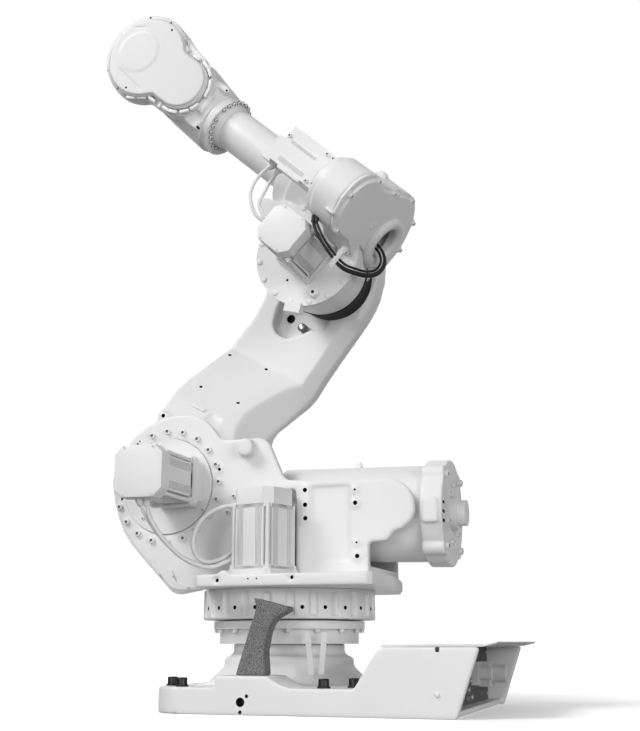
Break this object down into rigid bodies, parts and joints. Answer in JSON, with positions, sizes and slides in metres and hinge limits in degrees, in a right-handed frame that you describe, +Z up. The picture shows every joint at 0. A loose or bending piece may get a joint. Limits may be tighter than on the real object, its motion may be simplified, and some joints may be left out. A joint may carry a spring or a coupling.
{
  "type": "industrial robot arm",
  "caption": "Heavy floor-standing articulated robot arm with turning frame, balanced lower arm, offset elbow, hollow forearm and bending wrist with a bolt-on tool flange",
  "frame": {"origin": "on the turning axis of the frame, in the plane of the floor under the base", "axes": "X forward to the arm side, Y to the side with the shoulder motor, Z up"},
  "size_m": [1.6562, 1.0471, 2.8525],
  "materials": {
    "white_paint": "semi-gloss white paint on castings",
    "motor_paint": "satin white paint on motor housings",
    "grey_sheet": "thin painted sheet",
    "dark_sheet": "grey sheet in shade",
    "connector_grey": "moulded connector shells",
    "raw_casting": "unpainted speckled casting",
    "bright_steel": "machined steel",
    "black_rubber": "smooth black cable sheath",
    "white_cable": "smooth white cable sheath"
  },
  "bodies": {
    "base": {"base_casting": "white_paint", "rear_housing": "white_paint", "housing_lid": "grey_sheet", "connector_wall": "dark_sheet", "connector_power": "connector_grey", "connector_signal": "connector_grey", "stop_bracket": "raw_casting", "gear_ring": "white_paint", "strap_front": "white_paint", "strap_rear": "white_paint"},
    "frame": {"turntable": "white_paint", "frame_slab": "white_paint", "cheek_near": "white_paint", "cheek_far": "white_paint", "frame_bridge": "white_paint", "gear_shoulder": "white_paint", "bearing_cap": "white_paint", "motor_turn": "motor_paint", "motor_shoulder": "motor_paint", "casting_cover": "white_paint", "shoulder_cables": "white_cable"},
    "balancer": {"balancer_cylinder": "white_paint", "balancer_tail": "white_paint", "balancer_cap": "white_paint", "trunnion_near": "white_paint", "trunnion_far": "white_paint"},
    "rod": {"balancer_rod": "bright_steel"},
    "lower": {"lower_arm": "white_paint", "rod_pin": "bright_steel"},
    "upper": {"arm_house": "white_paint", "elbow_disc": "white_paint", "motor_elbow": "motor_paint", "motor_forearm": "motor_paint", "rear_cover": "white_paint", "cable_ring": "white_paint", "rear_cables": "black_rubber", "motor_cables": "white_cable"},
    "forearm": {"forearm_tube": "white_paint", "wrist_flange": "white_paint", "wrist_housing": "white_paint", "wrist_cover": "white_paint", "wrist_cap": "white_paint"},
    "tilt": {"tilt_housing": "white_paint"},
    "tool": {"tool_disc": "bright_steel"}
  },
  "joints": [
    {"name": "axis_1", "type": "hinge", "parent": "base", "child": "frame", "pos_m": [0, 0, 0.36], "axis": [0, 0, 1], "range_deg": [-180, 180]},
    {"name": "axis_2", "type": "hinge", "parent": "frame", "child": "lower", "pos_m": [0.41, 0, 0.795], "axis": [0, 1, 0], "range_deg": [-29.6, 115.4]},
    {"name": "balancer_pivot", "type": "hinge", "parent": "frame", "child": "balancer", "pos_m": [-0.44, 0, 0.684], "axis": [0, -1, 0], "range_deg": [-4.9, 19.1]},
    {"name": "rod_pivot", "type": "hinge", "parent": "lower", "child": "rod", "pos_m": [0.295, 0, 0.698], "axis": [0, -1, 0], "range_deg": [-34.6, 134.6]},
    {"name": "axis_3", "type": "hinge", "parent": "lower", "child": "upper", "pos_m": [-0.10966, 0, 1.6843], "axis": [0, -1, 0], "range_deg": [-72, 168]},
    {"name": "axis_4", "type": "hinge", "parent": "upper", "child": "forearm", "pos_m": [-0.2649, 0, 1.85401], "axis": [0.7379, 0, 0.6749], "range_deg": [-300, 300]},
    {"name": "axis_5", "type": "hinge", "parent": "forearm", "child": "tilt", "pos_m": [0.61095, 0, 2.65517], "axis": [0, -1, 0], "range_deg": [-120, 120]},
    {"name": "axis_6", "type": "hinge", "parent": "tilt", "child": "tool", "pos_m": [0.61095, 0, 2.65517], "axis": [0.7379, 0, 0.6749], "range_deg": [-300, 300]}
  ],
  "couplings": [
    {"joint": "balancer_pivot", "follows": "axis_2", "ratio": 0.165},
    {"joint": "rod_pivot", "follows": "axis_2", "ratio": 1.165}
  ]
}
